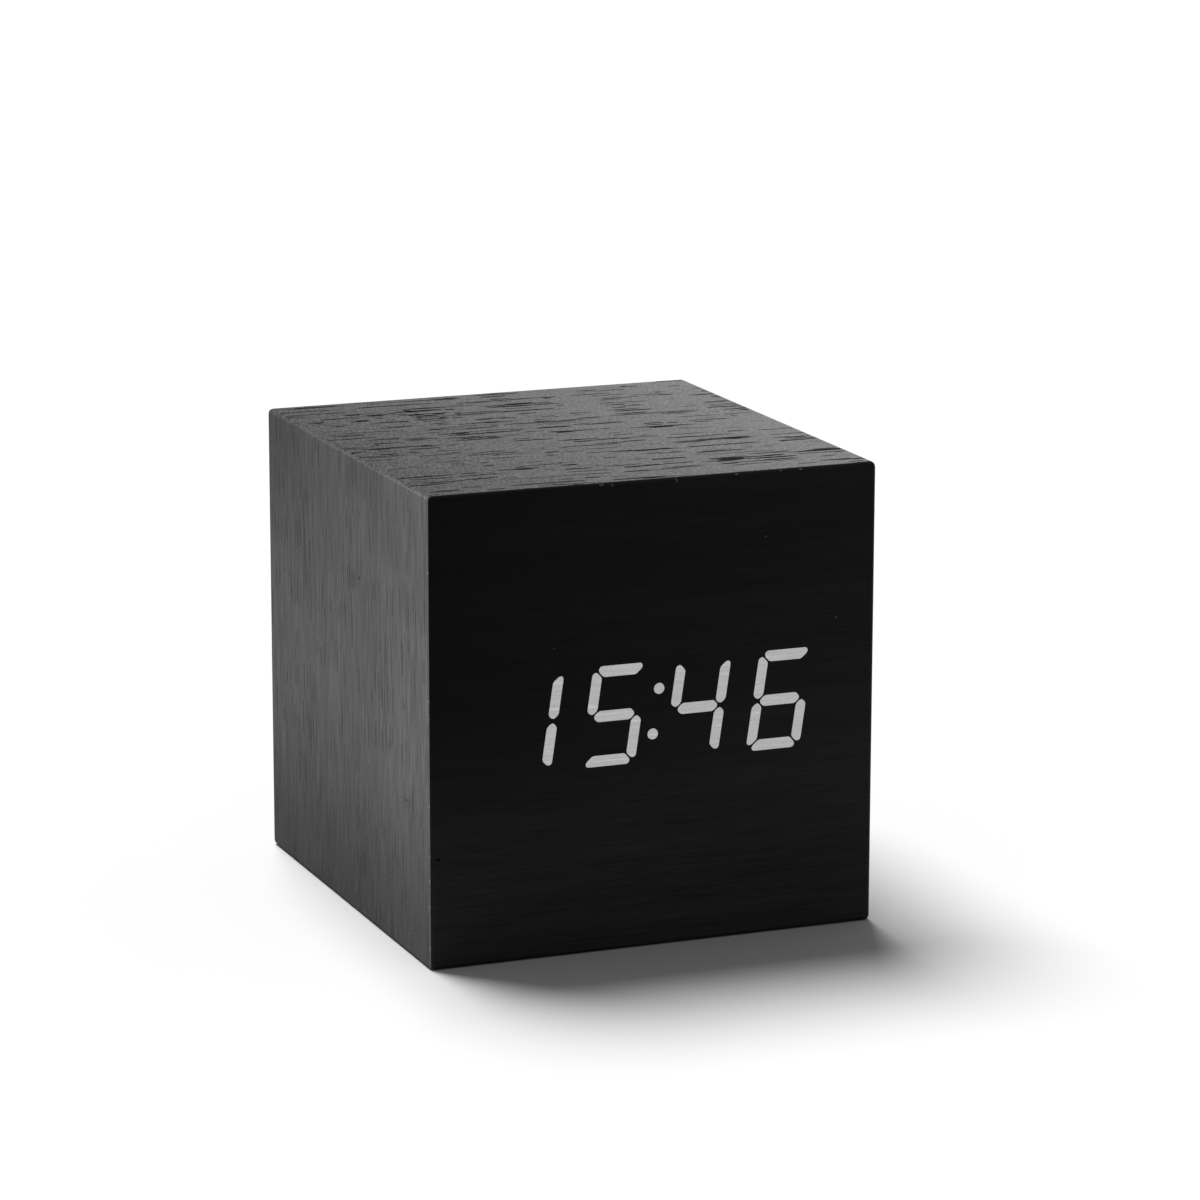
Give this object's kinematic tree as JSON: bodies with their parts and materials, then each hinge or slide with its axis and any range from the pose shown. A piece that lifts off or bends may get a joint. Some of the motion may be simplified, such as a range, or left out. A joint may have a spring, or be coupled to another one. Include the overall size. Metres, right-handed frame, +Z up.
{
  "type": "digital alarm clock",
  "caption": "Small wooden cube alarm clock: black stained veneer with lit digits showing through its front, push buttons and a power socket at the back, and a battery door underneath.",
  "frame": {"origin": "middle of the underside, on the surface that the clock stands on", "axes": "+Z up; the front with the digits faces -Y; +X is to the right for someone who reads the digits"},
  "size_m": [0.068, 0.071, 0.068],
  "materials": {
    "dark_veneer": "black stained veneer, satin",
    "grey_veneer": "black stained veneer that looks grey in raking light, satin",
    "fibreboard": "raw fibreboard, matt",
    "black_plastic": "moulded, fine texture",
    "white_plastic": "moulded, plain",
    "lit_diffuser": "milky light guide, lit evenly",
    "circuit_board": "green solder mask",
    "chip_plastic": "moulded, matt",
    "grey_cable": "flat cable insulation",
    "red_wire": "wire insulation",
    "black_wire": "wire insulation",
    "plated_steel": "nickel plated",
    "cell_label": "plain printed sleeve over a steel can"
  },
  "bodies": {
    "case": {"battery_cell_1": "cell_label", "battery_cell_2": "cell_label", "battery_cell_3": "cell_label", "battery_lead_black": "black_wire", "battery_lead_red": "red_wire", "battery_tray": "black_plastic", "board_back": "fibreboard", "board_bottom": "fibreboard", "board_front": "fibreboard", "board_left": "fibreboard", "board_right": "fibreboard", "board_top": "fibreboard", "board_screw_left": "plated_steel", "board_screw_right": "plated_steel", "buzzer": "black_plastic", "clock_crystal": "plated_steel", "colon_light_guide": "lit_diffuser", "contact_back_bridge": "plated_steel", "contact_back_positive": "plated_steel", "contact_front_bridge": "plated_steel", "contact_front_negative": "plated_steel", "control_panel": "black_plastic", "controller_chip": "chip_plastic", "digit_1_light_guide": "lit_diffuser", "digit_2_light_guide": "lit_diffuser", "digit_3_light_guide": "lit_diffuser", "digit_4_light_guide": "lit_diffuser", "display_board": "circuit_board", "display_mask": "black_plastic", "display_screw_left": "plated_steel", "display_screw_right": "plated_steel", "main_board": "circuit_board", "microphone": "plated_steel", "panel_screw_lower": "plated_steel", "panel_screw_upper": "plated_steel", "power_socket": "black_plastic", "ribbon_cable": "grey_cable", "switch_set": "chip_plastic", "switch_up": "chip_plastic", "switch_down": "chip_plastic", "tray_screw_1": "plated_steel", "tray_screw_2": "plated_steel", "tray_screw_3": "plated_steel", "tray_screw_4": "plated_steel", "veneer_back": "dark_veneer", "veneer_bottom": "dark_veneer", "veneer_front": "dark_veneer", "veneer_left": "grey_veneer", "veneer_right": "grey_veneer", "veneer_top": "grey_veneer"},
    "push_set": {"button_set": "black_plastic", "plunger_set": "white_plastic"},
    "push_up": {"button_up": "black_plastic", "plunger_up": "white_plastic"},
    "push_down": {"button_down": "black_plastic", "plunger_down": "white_plastic"},
    "door": {"battery_door": "black_plastic"}
  },
  "joints": [
    {"name": "press_set", "type": "slide", "parent": "case", "child": "push_set", "axis": [0, -1, 0], "range_m": [0, 0.0005], "stiffness_N_per_m": 600},
    {"name": "press_up", "type": "slide", "parent": "case", "child": "push_up", "axis": [0, -1, 0], "range_m": [0, 0.0005], "stiffness_N_per_m": 600},
    {"name": "press_down", "type": "slide", "parent": "case", "child": "push_down", "axis": [0, -1, 0], "range_m": [0, 0.0005], "stiffness_N_per_m": 600},
    {"name": "door_hinge", "type": "hinge", "parent": "case", "child": "door", "pos_m": [0, -0.0262, 0.0003], "axis": [-1, 0, 0], "range_deg": [0, 60]}
  ]
}
